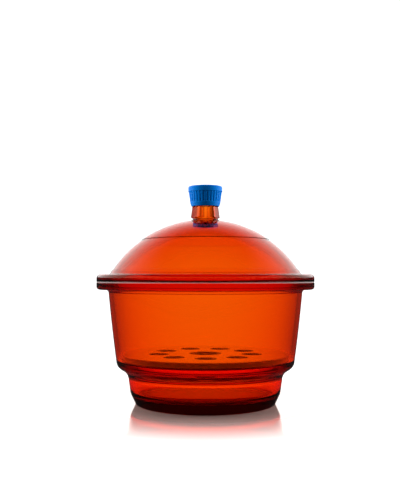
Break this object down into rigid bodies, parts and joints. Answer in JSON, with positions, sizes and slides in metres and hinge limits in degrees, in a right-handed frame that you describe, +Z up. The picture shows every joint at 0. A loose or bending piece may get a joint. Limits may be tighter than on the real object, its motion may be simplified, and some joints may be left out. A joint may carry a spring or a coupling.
{
  "type": "glass desiccator",
  "caption": "Amber glass desiccator: flanged bowl with a lower desiccant chamber, perforated plate, domed lid and a ribbed screw cap on its hollow neck.",
  "frame": {"origin": "middle of the foot ring's contact plane, on the bench", "axes": "+Z up along the vessel's axis of revolution, -Y towards the front"},
  "size_m": [0.25, 0.25, 0.2496],
  "materials": {
    "amber_glass": "clear and fire-polished, coloured right through, ground flat at the seam",
    "porcelain": "white glaze",
    "silicone": "smooth translucent white",
    "blue_plastic": "moulded, semi-gloss"
  },
  "bodies": {
    "bowl": {"bowl": "amber_glass"},
    "plate": {"perforated_plate": "porcelain"},
    "lid": {"lid": "amber_glass"},
    "disc": {"sealing_disc": "silicone"},
    "cap": {"screw_cap": "blue_plastic"}
  },
  "joints": [
    {"name": "lid_lift", "type": "slide", "parent": "bowl", "child": "lid", "axis": [0, 0, 1], "range_m": [0, 0.12]},
    {"name": "plate_lift", "type": "slide", "parent": "bowl", "child": "plate", "axis": [0, 0, 1], "range_m": [0, 0.092]},
    {"name": "cap_turn", "type": "hinge", "parent": "disc", "child": "cap", "pos_m": [0, 0, 0.235], "axis": [0, 0, 1], "range_deg": [0, 900]},
    {"name": "disc_rise", "type": "slide", "parent": "lid", "child": "disc", "axis": [0, 0, 1], "range_m": [0, 0.00875]}
  ],
  "couplings": [
    {"joint": "disc_rise", "follows": "cap_turn", "m_per_rad": 0.00055704}
  ]
}
